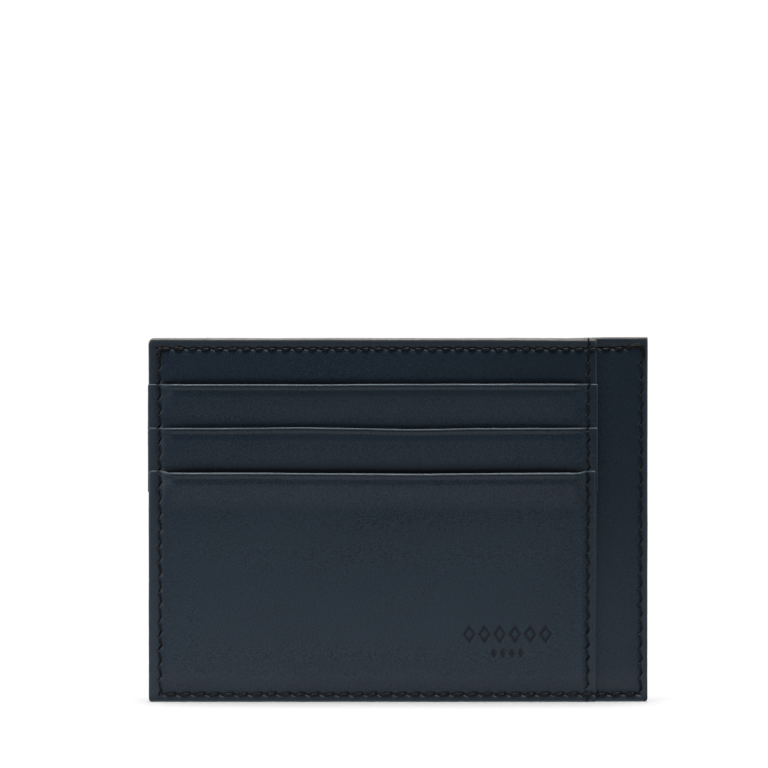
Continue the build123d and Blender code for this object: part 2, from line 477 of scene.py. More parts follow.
def edged_stations(low, high, zones, radius):
    """Stations with extra rings where the edge is rounded over."""
    angles = np.linspace(math.pi / 2, 0, EDGE_RINGS + 1)[:-1]
    rings = radius * (1 - np.sin(angles))
    inner = stations(low + radius, high - radius, zones, PLAIN_STEP)
    return np.concatenate([low + rings, inner, (high - rings)[::-1]])


def rear_indices(count):
    """Every few stations, with all the rings of both rounded edges."""
    keep = set(range(0, EDGE_RINGS + 1)) | set(range(count - EDGE_RINGS - 1, count))
    keep |= set(range(0, count, REAR_STRIDE))
    return sorted(keep)


class Grid:
    """Where a sheet's vertices are before it is formed: a fine front and a coarser rear."""

    def __init__(self, outline, zones_x, zones_z, reach):
        x_low, x_high, z_low, z_high = outline
        self.outline = outline
        self.reach = reach
        self.xs = edged_stations(x_low, x_high, zones_x, reach)
        self.zs = edged_stations(z_low, z_high, zones_z, reach)
        self.rear_x = rear_indices(len(self.xs))
        self.rear_z = rear_indices(len(self.zs))
        self.gx, self.gz = np.meshgrid(self.xs, self.zs, indexing="ij")
        self.edge = np.minimum(np.minimum(self.gx - x_low, x_high - self.gx),
                               np.minimum(self.gz - z_low, z_high - self.gz))

    def vertex_values(self, front, rear):
        """The front's values and the rear's, both given on the fine grid, vertex by vertex."""
        picked = rear[np.ix_(self.rear_x, self.rear_z)]
        return np.concatenate([front.reshape(-1), picked.reshape(-1)])

    def faces(self):
        """Faces of a closed sheet: front grid, rear grid and the wall between them."""
        nx, nz = len(self.xs), len(self.zs)
        rear_x, rear_z = self.rear_x, self.rear_z
        last_x, last_z = len(rear_x) - 1, len(rear_z) - 1

        def front(i, j):
            return i * nz + j

        def rear(a, b):
            return nx * nz + a * len(rear_z) + b

        faces = [(front(i, j), front(i + 1, j), front(i + 1, j + 1), front(i, j + 1))
                 for i in range(nx - 1) for j in range(nz - 1)]
        faces += [(rear(a, b), rear(a, b + 1), rear(a + 1, b + 1), rear(a + 1, b))
                  for a in range(last_x) for b in range(last_z)]
        for a in range(last_x):
            run = range(rear_x[a], rear_x[a + 1] + 1)
            faces.append([rear(a, 0), rear(a + 1, 0), *(front(i, 0) for i in reversed(run))])
            faces.append([rear(a + 1, last_z), rear(a, last_z), *(front(i, nz - 1) for i in run)])
        for b in range(last_z):
            run = range(rear_z[b], rear_z[b + 1] + 1)
            faces.append([rear(0, b + 1), rear(0, b), *(front(0, j) for j in run)])
            faces.append([rear(last_x, b), rear(last_x, b + 1),
                          *(front(nx - 1, j) for j in reversed(run))])
        return faces


def round_outline(gx, gz, outline, radii):
    """Bend the square corners of a grid into quarter circles of the given radii."""
    x_low, x_high, z_low, z_high = outline
    corners = ((x_low, z_low, -1, -1), (x_high, z_low, 1, -1),
               (x_low, z_high, -1, 1), (x_high, z_high, 1, 1))
    out_x, out_z = gx.copy(), gz.copy()
    for (corner_x, corner_z, sign_x, sign_z), radius in zip(corners, radii):
        across = np.clip((gx - (corner_x - sign_x * radius)) * sign_x, 0, radius)
        along = np.clip((gz - (corner_z - sign_z * radius)) * sign_z, 0, radius)
        both = (across > 0) & (along > 0)
        new_across = across * np.sqrt(1 - along ** 2 / (2 * radius ** 2))
        new_along = along * np.sqrt(1 - across ** 2 / (2 * radius ** 2))
        out_x = np.where(both, corner_x - sign_x * (radius - new_across), out_x)
        out_z = np.where(both, corner_z - sign_z * (radius - new_along), out_z)
    return out_x, out_z


def sheet_mesh(name, outline, radii, thickness, body, relief=None, zones_x=(), zones_z=(),
               shift=None, seed=1, wave=0.03, reach=EDGE_REACH, **marks):
    """A closed sheet with rounded edges.

    body gives the depth of its front, relief the fine detail on it, and shift how far a place
    moves up. The marks go to tint_layers.
    """
    grid = Grid(outline, zones_x, zones_z, reach)
    gx, gz, edge = grid.gx, grid.gz, grid.edge
    inset = np.clip(edge / reach, 0, 1)
    drop = EDGE_ROUND * thickness * (1 - np.sqrt(np.maximum(1 - (1 - inset) ** 2, 0)))
    fade = np.exp(-edge / 0.7)
    px, pz = round_outline(gx, gz, outline, radii)
    px = px + wave * fade * waver(gz, seed)
    pz = pz + wave * fade * waver(gx, seed + 5)
    if shift:
        pz = pz + shift(gx, gz)
    middle = body(gx, gz)
    detail = relief(grid) * ramp(0, 0.8 * reach, edge) if relief else 0
    keep = pressing(gx, gz)
    front_depth = (middle + detail - drop) * keep
    rear_depth = (middle - thickness + 0.01 + drop) * keep
    vertices = np.stack([grid.vertex_values(px, px), grid.vertex_values(-front_depth, -rear_depth),
                         grid.vertex_values(pz, pz)], axis=-1) * MM
    mesh = bpy.data.meshes.new(name)
    mesh.from_pydata(vertices.tolist(), [], grid.faces())
    for layer, values in tint_layers(grid, sewn=relief is not None, **marks).items():
        rear = np.zeros_like(values) if layer in FRONT_LAYERS else values
        store_layer(mesh, layer, grid.vertex_values(values, rear))
    mesh.shade_smooth()
    mesh.validate()
    mesh.update()
    return mesh


def store_layer(mesh, name, values):
    """Store a number on each vertex, for a material to read."""
    layer = mesh.attributes.new(name, "FLOAT", "POINT")
    layer.data.foreach_set("value", values.astype(np.float32))


# ---- where a sheet is tinted, and where shade and highlights are painted on it

FRONT_LAYERS = ("slit", "stamp_shade", "painted_highlight")
# Share of the edge colour, with its painted highlight, kept on upright edges
SIDE_PAINT_AND_HIGHLIGHT = 0.3
# Lighter margins, partly rubbed and partly painted sheen
SIDE_RUB_AND_SHEEN = 0.6
TOP_RUB_AND_SHEEN = 0.55
FOOT_RUB_AND_SHEEN = 0.3
# Painted shade below the bottom row
MARGIN_SHADE = 0.5
# Painted highlight just under the stamped lines: how far down, and its share
STAMP_HIGHLIGHT_DROP = 0.28
STAMP_HIGHLIGHT_SHARE = 0.1
# Painted shade line under each mouth
CREASE_SHADE_LINE = (0.46, 0.1)       # how far below the mouth, and its width


def edge_paint_and_highlight_share(grid):
    """1 on the painted edges, less on the upright ones below their top corners. Their colour is
    partly the edge coat and partly a painted highlight.
    """
    x_low, x_high, _, z_high = grid.outline
    edge_paint_and_highlight = ramp(grid.reach * 1.1, grid.reach * 0.6, grid.edge)
    at_side = np.maximum(ramp(x_high - 1.0, x_high - 0.5, grid.gx),
                         ramp(x_low + 1.0, x_low + 0.5, grid.gx))
    below_top = ramp(z_high - 0.3, z_high - 0.8, grid.gz)
    return edge_paint_and_highlight * (1 - (1 - SIDE_PAINT_AND_HIGHLIGHT) * at_side * below_top)


def rub_and_sheen_share(gx, gz):
    """How much lighter the hide is made, partly rubbed and partly painted sheen: beside the side
    seams, above the top row, over the bottom row.
    """
    past_left = (LEFT_SEAM_X - gx) / (LEFT_SEAM_X - LEFT)
    past_right = (gx - RIGHT_SEAM_X) / (RIGHT - RIGHT_SEAM_X)
    beside = np.clip(np.maximum(past_left, past_right), 0, 1) ** 0.7
    above = ramp(TOP_SEAM_Z + 0.25, TOP_SEAM_Z + 0.6, gz)
    above = above * (1 - 0.7 * ramp(TOP_SEAM_Z + 0.7, TOP, gz))
    foot = ramp(BOTTOM_SEAM_Z + 6.5, BOTTOM_SEAM_Z + 2, gz)
    foot = foot * ramp(BOTTOM_SEAM_Z + 0.2, BOTTOM_SEAM_Z + 0.6, gz)
    rub_and_sheen = np.maximum(SIDE_RUB_AND_SHEEN * beside, TOP_RUB_AND_SHEEN * above)
    return np.maximum(rub_and_sheen, FOOT_RUB_AND_SHEEN * foot)


def slot_shade(gx, gz, mouth, reach):
    """Painted shade: 1 where a sheet goes down behind the sheet in front of it, fading out above
    that mouth.
    """
    return ramp(mouth + reach, mouth - 0.3, gz) ** 2 * between_rows(gx, 1.5)


def crease_shade(gx, gz, mouth):
    """Painted shade along the line creased just under a mouth's painted edge."""
    return 0.8 * hump(mouth - gz, *CREASE_SHADE_LINE) * between_rows(gx, CREASE_REACH)


def tint_layers(grid, sewn, pale_top=False, stamped=False, shade=None, behind=None, mouth=None):
    """Shares from 0 to 1, by the name of the tint that a material puts there.

    sewn is whether needle slits show. The shade given along x is painted shade. behind is the
    mouth in front of this sheet and how far its painted shade reaches above it, and mouth is this
    sheet's own, with a painted shade line under it. A paler top edge, when asked for, is a painted
    reflection.
    """
    gx, gz = grid.gx, grid.gz
    none = np.zeros_like(gx)
    edge_paint_and_highlight = edge_paint_and_highlight_share(grid)
    z_high = grid.outline[3]
    # Painted shade in the stamped lines, and a painted highlight just under them
    stamp_shade = pressed_share(gx, gz) if stamped else none
    rim = np.clip(pressed_share(gx, gz + STAMP_HIGHLIGHT_DROP) - stamp_shade, 0, 1) if stamped else none
    painted_highlight = slit_highlight_amount(grid) if sewn else none
    # Painted shade above the mouth in front, and along the line under this sheet's own mouth
    slot = slot_shade(gx, gz, *behind) if behind else none
    if mouth is not None:
        slot = np.maximum(slot, crease_shade(gx, gz, mouth))
    # Painted shade below the bottom row
    margin = MARGIN_SHADE * ramp(BOTTOM_SEAM_Z + 0.1, BOTTOM_SEAM_Z - 0.3, gz)
    return {
        "edge_paint_and_highlight": edge_paint_and_highlight,
        "slit": painted_slit_shade(grid) if sewn else none,
        # Painted reflection whitening the top edge
        "pale": edge_paint_and_highlight * ramp(z_high - 1.2, z_high - 0.4, gz) * pale_top,
        "rub_and_sheen": rub_and_sheen_share(gx, gz),
        "stamp_shade": stamp_shade,
        "painted_highlight": np.maximum(painted_highlight, STAMP_HIGHLIGHT_SHARE * rim),
        "shade": np.maximum(shade(gx) if shade else none, margin),
        "slot": slot,
    }


# ---- thread meshes

THREAD_RADIUS = 0.215
UPRIGHT_RADIUS = 0.125
STRAND_RADIUS = 0.18
HIDDEN_RADIUS = 0.05
THREAD_SIDES = 12
THREAD_RINGS = 15
HIDDEN_RINGS = 7
CORNER_RINGS = 31
THREAD_PLIES = 3
PLY_DEPTH = 0.13
TWIST_PER_MM = 5.2
THREAD_FLATNESS = 0.8
STITCH_SINK = 0.3
STITCH_LIFT = 0.03
# Where each stitch gets its painted highlight
UPPER_HIGHLIGHT = (0.14, 0.07)       # place along the stitch and width, both as shares of its length
LEVEL_HIGHLIGHT = (0.5, 0.2)

# Strands round the top right corner: points that pull their curve, from the seams' corner
CORNER_PULL = ((-CORNER_RUN, -0.1), (-1.5, 0.8), (0.45, 1.2), (0.8, -0.9), (0.0, -CORNER_DROP))
STRAND_SPREAD = 0.3
STRAND_SINK = 0.28
STRAND_RISE = 0.4
STRAND_ROUND = 0.2
STRAND_END = 9

# Bar tacks at the top left corner: their ends and how far the stitches are spread
SIDE_TACK = ((LEFT_SEAM_X + 0.1, TOP_SEAM_Z + 0.25), (LEFT_SEAM_X, TOP_SEAM_Z - 2.2), 0.22)
TOP_TACK = ((LEFT_SEAM_X + 3.0, TOP_SEAM_Z + 0.2), (LEFT_SEAM_X + 4.3, TOP_SEAM_Z - 0.3), 0.14)


def stitch_points(start, end, lift):
    """Centre line of one stitch: up out of a slit, over the leather and down the next."""
    points = []
    for index in range(THREAD_RINGS):
        share = index / (THREAD_RINGS - 1)
        eased = 0.5 - 0.5 * math.cos(math.pi * share)
        place = start.lerp(end, 0.35 * eased + 0.65 * share)
        arch = 1 - abs(2 * share - 1) ** 3.2
        depth = outer_body(place.x, place.y) - STITCH_SINK + (STITCH_SINK + lift) * arch
        points.append(Vector((place.x, -depth, place.y)))
    return points


def stitch_highlight(start, end):
    """Painted highlight at each ring of a stitch: on its upper end if upright, in its middle if
    level.
    """
    shares = np.linspace(0, 1, THREAD_RINGS)
    if not is_upright(end - start):
        return 0.1 * hump(shares, *LEVEL_HIGHLIGHT)
    from_start, width = UPPER_HIGHLIGHT
    return hump(shares, from_start if start.y > end.y else 1 - from_start, width)


def add_twisted_tube(vertices, faces, points, radius, phase):
    """A short plied thread along a line, closed at both ends."""
    base = len(vertices)
    travelled = 0.0
    for index, point in enumerate(points):
        before = points[max(index - 1, 0)]
        after = points[min(index + 1, len(points) - 1)]
        tangent = (after - before).normalized()
        side = tangent.cross(Vector((0, 1, 0))).normalized()
        up = side.cross(tangent).normalized()
        travelled += (point - before).length
        pinch = 0.5 + 0.5 * math.sin(math.pi * index / (len(points) - 1)) ** 0.8
        for corner in range(THREAD_SIDES):
            angle = 2 * math.pi * corner / THREAD_SIDES
            ply = math.cos(THREAD_PLIES * angle - TWIST_PER_MM * travelled + phase)
            reach = radius * pinch * (1 + PLY_DEPTH * ply)
            vertices.append(point + side * math.cos(angle) * reach
                            + up * math.sin(angle) * reach * THREAD_FLATNESS)
    for index in range(len(points) - 1):
        low, high = base + index * THREAD_SIDES, base + (index + 1) * THREAD_SIDES
        for corner in range(THREAD_SIDES):
            following = (corner + 1) % THREAD_SIDES
            faces.append((low + corner, low + following, high + following, high + corner))
    last = base + (len(points) - 1) * THREAD_SIDES
    faces.append(tuple(base + corner for corner in reversed(range(THREAD_SIDES))))
    faces.append(tuple(last + corner for corner in range(THREAD_SIDES)))


def curve_point(points, share):
    """A point on the smooth curve whose control polygon is the given points."""
    points = list(points)
    while len(points) > 1:
        points = [a.lerp(b, share) for a, b in zip(points, points[1:])]
    return points[0]


def corner_strands():
    """Strands side by side round the top right corner, from the top row to the side row."""
    turn = [Vector((RIGHT_SEAM_X + right, TOP_SEAM_Z + above)) for right, above in CORNER_PULL]
    strands = []
    for aside in (-STRAND_SPREAD, 0.0, STRAND_SPREAD):
        points = []
        for index in range(CORNER_RINGS):
            share = index / (CORNER_RINGS - 1)
            place = curve_point(turn, share)
            ahead = curve_point(turn, min(share + 0.02, 1))
            behind = curve_point(turn, max(share - 0.02, 0))
            along = (ahead - behind).normalized()
            spread = aside * math.sin(math.pi * min(max(share, 0.08), 0.92)) ** 0.5
            place = place + Vector((-along.y, along.x)) * spread
            rise = STRAND_RISE * min(1, STRAND_END * share, STRAND_END * (1 - share))
            depth = outer_body(place.x, place.y) - STRAND_SINK + rise - STRAND_ROUND * abs(aside)
            points.append(Vector((place.x, -depth, place.y)))
        strands.append(points)
    return strands


def edge_wrap(x, side):
    """The stitch that carries the divider row over the half's top edge and down inside it."""
    inner = LINING_DEPTH - 0.1
    edge = TOP + top_edge_rise(x if side == "front" else -x)
    up_front = [(TOP - 1.5, -0.3), (TOP - 1.1, 0.0), (TOP - 0.6, 0.04), (edge - 0.25, 0.0)]
    path = [(z, outer_body(x, min(z, TOP - 0.3)) + lift) for z, lift in up_front]
    outer = path[-1][1]
    path += [(edge - 0.1, outer - 0.25), (edge - 0.06, (outer + inner) / 2),
             (edge - 0.15, inner + 0.2), (edge - 0.6, inner + 0.05)]
    corners = [Vector((x, -depth, z)) for z, depth in path]
    points = []
    for first, second in zip(corners, corners[1:]):
        points += [first.lerp(second, step / 3) for step in range(3)]
    return points + [corners[-1]]


def tube_mesh(name, vertices, faces):
    """A mesh from vertices in mm."""
    mesh = bpy.data.meshes.new(name)
    mesh.from_pydata([(vertex * MM)[:] for vertex in vertices], [], faces)
    return mesh


def thread_mesh(name, stitches, extra, seed):
    """All the visible stitches of one thread, and any extra strands given as centre lines."""
    dice = random.Random(seed)
    vertices, faces, highlight = [], [], []
    for start, end in stitches:
        highlight += stitch_highlight(start, end).repeat(THREAD_SIDES).tolist()
        points = stitch_points(start, end, STITCH_LIFT + dice.uniform(-0.02, 0.03))
        radius = UPRIGHT_RADIUS if is_upright(end - start) else THREAD_RADIUS
        add_twisted_tube(vertices, faces, points, radius * dice.uniform(0.93, 1.07),
                         dice.uniform(0, 6.28))
    for points in extra:
        add_twisted_tube(vertices, faces, points, STRAND_RADIUS, dice.uniform(0, 6.28))
    mesh = tube_mesh(name, vertices, faces)
    no_highlight = [0.0] * (len(vertices) - len(highlight))
    store_layer(mesh, "thread_highlight", np.array(highlight + no_highlight))
    work = bmesh.new()
    work.from_mesh(mesh)
    bmesh.ops.recalc_face_normals(work, faces=work.faces)
    work.to_mesh(mesh)
    work.free()
    mesh.shade_smooth()
    mesh.update()
    return mesh


def backtack(seam, first, count, offset, seed):
    """Stitches sewn a second time over some of a seam's own, a little aside."""
    dice = random.Random(seed)
    again = []
    for start, end in seam.stitches()[first:first + count]:
        across = Vector((-seam.travel.y, seam.travel.x)) * (offset + dice.uniform(-0.04, 0.04))
        along = seam.travel * dice.uniform(-0.5, 0.3)
        again.append((start + across + along, end + across * 0.6 + along))
    return again


def tack(start, end, spread, seed):
    """Three stitches sewn over each other, a little aside."""
    dice = random.Random(seed)
    start, end = Vector(start), Vector(end)
    across = Vector((start.y - end.y, end.x - start.x)).normalized()
    strands = []
    for aside in (-spread, 0.0, spread):
        slip = (end - start) * dice.uniform(-0.08, 0.08)
        strands.append((start + across * aside + slip, end + across * aside * 0.8 + slip))
    return strands


def tail_thread(tail, body):
    """The hidden row that closes a slot's floor, lying on the tail."""
    row = f"{tail}_thread"
    low, high = cad_range(row, X)
    height = cad_middle(row, Z)
    seam = Seam(((low, height), (high, height)), PERIMETER_PITCH, 91, LEVEL_TURN)
    vertices, faces = [], []
    for start, end in seam.stitches():
        points = []
        for index in range(HIDDEN_RINGS):
            share = index / (HIDDEN_RINGS - 1)
            place = start.lerp(end, share)
            depth = float(body(place.x, place.y)) + STITCH_LIFT * math.sin(math.pi * share)
            points.append(Vector((place.x, -depth, place.y)))
        add_twisted_tube(vertices, faces, points, HIDDEN_RADIUS, 0.0)
    return tube_mesh(row, vertices, faces)


# ---- shader nodes

def new_material(name):
    material = bpy.data.materials.new(name)
    material.use_nodes = True
    tree = material.node_tree
    return material, tree, tree.nodes["Principled BSDF"]


def set_inputs(tree, node, inputs):
    """Fill a node's inputs, each with a socket to link or a plain value."""
    for key, value in inputs.items():
        if isinstance(value, bpy.types.NodeSocket):
            tree.links.new(value, node.inputs[key])
        else:
            node.inputs[key].default_value = value


def add_node(tree, kind, output, inputs, **settings):
    """One output of a new node. Its kind is given without the ShaderNode in front."""
    node = tree.nodes.new(f"ShaderNode{kind}")
    for key, value in settings.items():
        setattr(node, key, value)
    set_inputs(tree, node, inputs)
    return node.outputs[output]


def add_place(tree, kind="Object"):
    """The place in the piece's own frame, in metres, or another kind of coordinates."""
    return add_node(tree, "TexCoord", kind, {})


def add_attribute(tree, name):
    """A number stored on each vertex, or 0 on a mesh that doesn't have it."""
    return add_node(tree, "Attribute", "Fac", {}, attribute_name=name)


def add_noise(tree, place, scale, detail=2.0, roughness=0.5):
    return add_node(tree, "TexNoise", "Fac", {
        "Vector": place, "Scale": scale, "Detail": detail, "Roughness": roughness})


def add_mix(tree, factor, first, second):
    """Mix two colours, or two colour sockets, by a factor socket."""
    first, second = ((*colour, 1) if isinstance(colour, tuple) else colour
                     for colour in (first, second))
    return add_node(tree, "Mix", "Result", {"Factor": factor, "A": first, "B": second},
                    data_type="RGBA")


def add_range(tree, value, low, high, to_low=0.0, to_high=1.0, **settings):
    """Turn a value's run from low to high into one from to_low to to_high."""
    return add_node(tree, "MapRange", "Result", {
        "Value": value, "From Min": low, "From Max": high, "To Min": to_low, "To Max": to_high},
        **settings)


def add_maths(tree, operation, first, second):
    return add_node(tree, "Math", "Value", {0: first, 1: second}, operation=operation)


def add_bump(tree, height, distance, strength, before=None):
    """A bump, over the one before it if given. The distance is in metres."""
    inputs = {"Height": height, "Distance": distance, "Strength": strength}
    if before is not None:
        inputs["Normal"] = before
    return add_node(tree, "Bump", "Normal", inputs)


# ---- materials, with their scales and distances for places in metres

GRAIN_DISTANCE = 0.00003
TINTS = (           # by layer, each over the ones before it
    # painted shade
    ("shade", (0.0050, 0.0140, 0.0260)),
    # partly rubbed, partly painted sheen
    ("rub_and_sheen", (0.052, 0.062, 0.085)),
    # painted shade in the stamped lines
    ("stamp_shade", (0.0045, 0.0120, 0.0245)),
    # painted highlight beside the slits and under the stamped lines
    ("painted_highlight", (0.150, 0.200, 0.230)),
    # painted shade above each mouth and under its edge
    ("slot", (0.0010, 0.0015, 0.0022)),
    # edge coat, lightened as a painted highlight
    ("edge_paint_and_highlight", (0.084, 0.124, 0.150)),
    # painted reflection on the top edges
    ("pale", (0.125, 0.118, 0.100)),
    # painted shade in the needle slits
    ("slit", (0.0015, 0.0015, 0.0015)),
)


def leather_material():
    """Smooth navy calf: fine pebble grain and slow mottling. Its tint layers add rubbed margins
    with painted sheen, an edge coat lightened by a painted highlight, painted shade and painted
    highlights.
    """
    material, tree, shader = new_material("navy_calf")
    place = add_place(tree)
    flattened = add_node(tree, "Mapping", "Vector",
                         {"Vector": place, "Scale": (1, 1, 1.7)})
    blotch = add_noise(tree, place, 38, 1)
    mottle = add_noise(tree, place, 1900, 3, 0.6)
    grain = add_noise(tree, flattened, 3300, 2, 0.6)
    pores = add_node(tree, "TexVoronoi", "Distance",
                     {"Vector": place, "Scale": 3400})

    colour = add_mix(tree, add_range(tree, blotch, 0.3, 0.7), (0.0060, 0.0165, 0.0320),
                     (0.0120, 0.0260, 0.0450))
    colour = add_mix(tree, add_range(tree, grain, 0.38, 0.62), colour, (0.0310, 0.0560, 0.0880))
    for layer, tint in TINTS:
        colour = add_mix(tree, add_attribute(tree, layer), colour, tint)

    rough = add_range(tree, mottle, 0.3, 0.7, 0.45, 0.51)
    shine = add_maths(tree, "MULTIPLY", add_attribute(tree, "edge_paint_and_highlight"), 0.18)
    rough = add_maths(tree, "SUBTRACT", rough, shine)

    pebble = add_bump(tree, mottle, GRAIN_DISTANCE, 0.2)
    pebble = add_bump(tree, pores, GRAIN_DISTANCE, 0.6, pebble)
    pebble = add_bump(tree, grain, GRAIN_DISTANCE, 0.7, pebble)
    set_inputs(tree, shader, {
        "Base Color": colour, "Roughness": rough, "IOR": 1.45, "Normal": pebble})
    return material


def textile_material():
    """Fine dark twill."""
    material, tree, shader = new_material("lining_twill")
    place = add_place(tree)
    turned = add_node(tree, "Mapping", "Vector",
                      {"Vector": place, "Rotation": (0, math.radians(45), 0)})
    ribs = add_node(tree, "TexWave", "Fac",
                    {"Vector": turned, "Scale": 620, "Distortion": 0.6})
    cross = add_node(tree, "TexWave", "Fac", {"Vector": place, "Scale": 900},
                     bands_direction="Z")
    weave = add_maths(tree, "MULTIPLY", ribs, cross)
    colour = add_mix(tree, weave, (0.006, 0.007, 0.009), (0.020, 0.024, 0.030))
    set_inputs(tree, shader, {
        "Base Color": colour, "Roughness": 0.75, "Sheen Weight": 0.25,
        "Normal": add_bump(tree, weave, 0.00004, 0.8)})
    return material


def thread_material():
    """Waxed black-brown sewing thread, with a painted highlight on each stitch."""
    material, tree, shader = new_material("waxed_thread")
    place = add_place(tree)
    fibres = add_noise(tree, place, 9000, 3, 0.7)
    tone = add_range(tree, add_noise(tree, place, 1400), 0.35, 0.65)
    colour = add_mix(tree, tone, (0.0030, 0.0027, 0.0024), (0.0110, 0.0096, 0.0078))
    # Painted highlight on the stitches
    colour = add_mix(tree, add_attribute(tree, "thread_highlight"), colour, (0.075, 0.070, 0.055))
    set_inputs(tree, shader, {
        "Base Color": colour, "Roughness": 0.45, "Specular IOR Level": 0.32,
        "Normal": add_bump(tree, fibres, 0.00002, 0.6)})
    return material


# ---- the pieces of one half

SEAM_FINE = 0.16
MOUTH_FINE = 0.12
ALONG = 0.27
VISIBLE = 0.36
LINING_STEP = 1.0
BESIDE_SEAM = 0.95
STRIP_PROUD = 0.2
LEFT_PROUD = 0.14
POCKET_SHY = 0.25
LINING_SHY = 0.3
CORNER = 0.35
FOOT_CORNER = 0.7
TOP_LEFT_CORNER = 1.2
BLOCK_TOP = TOP - 0.12
TOP_EDGE_RISE = 0.15
TOP_EDGE_RUN = 6
MOUTH_RUN = 7
# Each mouth's line: its height over the CAD's, its rise in the margins, its waves (height,
# middle, width) and the seed of its finer waver
MOUTH_1_LINE = (0.02, 0.0, ((0.13, 18, 24),), 71)
MOUTH_2_LINE = (0.18, 0.0, ((0.12, -20, 10), (-0.24, 3.5, 9)), 73)
MOUTH_3_LINE = (0.12, MARGIN_RISE, ((0.05, -30, 8), (-0.17, 1, 18)), 75)


def x_zones(visible_from):
    """Fine columns beside the upright seams, middling ones wherever a level seam is seen."""
    zones = [(visible_from, RIGHT + 1, ALONG)]
    for seam_x in (LEFT_SEAM_X, DIVIDER_X, RIGHT_SEAM_X):
        zones.append((seam_x - BESIDE_SEAM, seam_x + BESIDE_SEAM, SEAM_FINE))
    return zones


def mouth_zones(mouth, lowest):
    """Fine rows down a mouth's creased edge, middling ones over the rest that is seen."""
    return [(mouth - 3.0, mouth, MOUTH_FINE), (lowest, mouth, VISIBLE)]


def level_zone(seam_z):
    """Fine rows beside a level seam."""
    return (seam_z - BESIDE_SEAM, seam_z + BESIDE_SEAM, SEAM_FINE)


def panel_corners(side):
    """Corner radii of a full-height sheet. The rounder top corner is the holder's left one."""
    left, right = (TOP_LEFT_CORNER, CORNER) if side == "front" else (CORNER, TOP_LEFT_CORNER)
    return (FOOT_CORNER, FOOT_CORNER, left, right)


def top_edge_rise(x):
    """How much higher the base is cut, growing towards the holder's right."""
    return TOP_EDGE_RISE + 0.2 * ramp(36, 43, x)


def base_rise(side):
    """Upward shift of a base panel's top edge. Its right is the holder's on the front half."""
    sign = 1 if side == "front" else -1

    def shift(gx, gz):
        return top_edge_rise(sign * gx) * ramp(TOP - TOP_EDGE_RUN, TOP, gz)
    return shift


def backing_rise(gx, gz):
    """Upward shift of a block backing's top edge, which falls a little towards the divider."""
    return (TOP_EDGE_RISE - 0.1 * ramp(10, 38, gx)) * ramp(TOP - TOP_EDGE_RUN, TOP, gz)


def base_shade(gx):
    """Painted shade on the base panel inside its right margin: how much darker it is made."""
    return 0.3 * ramp(RIGHT_SEAM_X + 0.8, RIGHT_SEAM_X - 0.3, gx)


def backing_shade(gx):
    """Painted shade on the block backing: how much darker it is made, growing towards the divider
    seam.
    """
    return 0.4 * ramp(-10, DIVIDER_X, gx) * ramp(BLOCK_RIGHT, DIVIDER_X + 0.5, gx)


def mouth_line(mouth, level, held, waves, seed):
    """Upward shift of a mouth: a level, more in the sewn margins, and waves."""
    def shift(gx, gz):
        line = level + held * (1 - between_rows(gx, CREASE_REACH))
        line = line + 0.015 * waver(gx, seed, 30)
        for height, middle, width in waves:
            line = line + height * hump(gx, middle, width)
        return line * ramp(mouth - MOUTH_RUN, mouth, gz)
    return shift


def leather_sheet(name, outline, radii, thickness, body, seed, rows, visible_from=LEFT - 1,
                  mouth=None, stamped=False, **rest):
    """A leather sheet with all its fine relief. Its rows and visible_from place the fine grid."""
    def relief(grid):
        total = seam_relief(grid) + grain_relief(grid.gx, grid.gz, seed)
        if mouth is not None:
            total = total + crease_relief(grid.gx, grid.gz, mouth)
        if stamped:
            total = total + mark_relief(grid.gx, grid.gz)
        return total
    return sheet_mesh(name, outline, radii, thickness, body, relief, x_zones(visible_from), rows,
                      seed=seed + 10, mouth=mouth, stamped=stamped, **rest)


def base_panel(side):
    """The full-size panel that everything else of a half is sewn to."""
    rows = [(BOTTOM, TOP, VISIBLE), level_zone(BOTTOM_SEAM_Z), level_zone(TOP_SEAM_Z + 0.3)]
    return leather_sheet(
        "base_panel", (LEFT, RIGHT, BOTTOM, TOP), panel_corners(side), BASE_DEPTH - LINING_DEPTH,
        base_body, 41, rows, BLOCK_RIGHT - 0.5, shift=base_rise(side), reach=0.42,
        pale_top=True, shade=base_shade)


def block_backing(side):
    """The sheet behind the card slots, seen above the first of them."""
    rows = [(MOUTH_1 - 1, TOP, VISIBLE), level_zone(TOP_SEAM_Z)]
    return leather_sheet(
        "block_backing", (LEFT, BLOCK_RIGHT, BOTTOM, BLOCK_TOP), panel_corners(side),
        BACKING_DEPTH - BASE_DEPTH, backing_body, 43, rows, shift=backing_rise,
        reach=0.36, pale_top=True, shade=backing_shade, behind=(MOUTH_1, 1.8))


def slot_strip(name, side, bottom, mouth, corner, body, seed, line, behind):
    """The strip of one card slot. Its left end stands proud on the holder's front half."""
    left = LEFT - LEFT_PROUD if side == "front" else LEFT
    return leather_sheet(
        name, (left, BLOCK_RIGHT + STRIP_PROUD, bottom, mouth), (0.1, 0.1, corner, 0.2),
        STRIP_THICKNESS, body, seed, mouth_zones(mouth, behind[0] - 1),
        shift=mouth_line(mouth, *line), behind=behind, mouth=mouth)


def lower_pocket(side):
    """The large pocket panel, with the third mouth and, on the front, the stamped border."""
    stamped = side == "front"
    rows = mouth_zones(MOUTH_3, BOTTOM) + [level_zone(BOTTOM_SEAM_Z)]
    if stamped:
        rows.append((SOLID_ROW_Z - 1.6, OPEN_ROW_Z + 2.5, SEAM_FINE))
    return leather_sheet(
        "lower_pocket", (LEFT, BLOCK_RIGHT - POCKET_SHY, BOTTOM, MOUTH_3),
        (FOOT_CORNER, 0.25, 0.8, 0.2), POCKET_THICKNESS, pocket_body, 49, rows,
        shift=mouth_line(MOUTH_3, *MOUTH_3_LINE), reach=0.36, stamped=stamped, mouth=MOUTH_3)


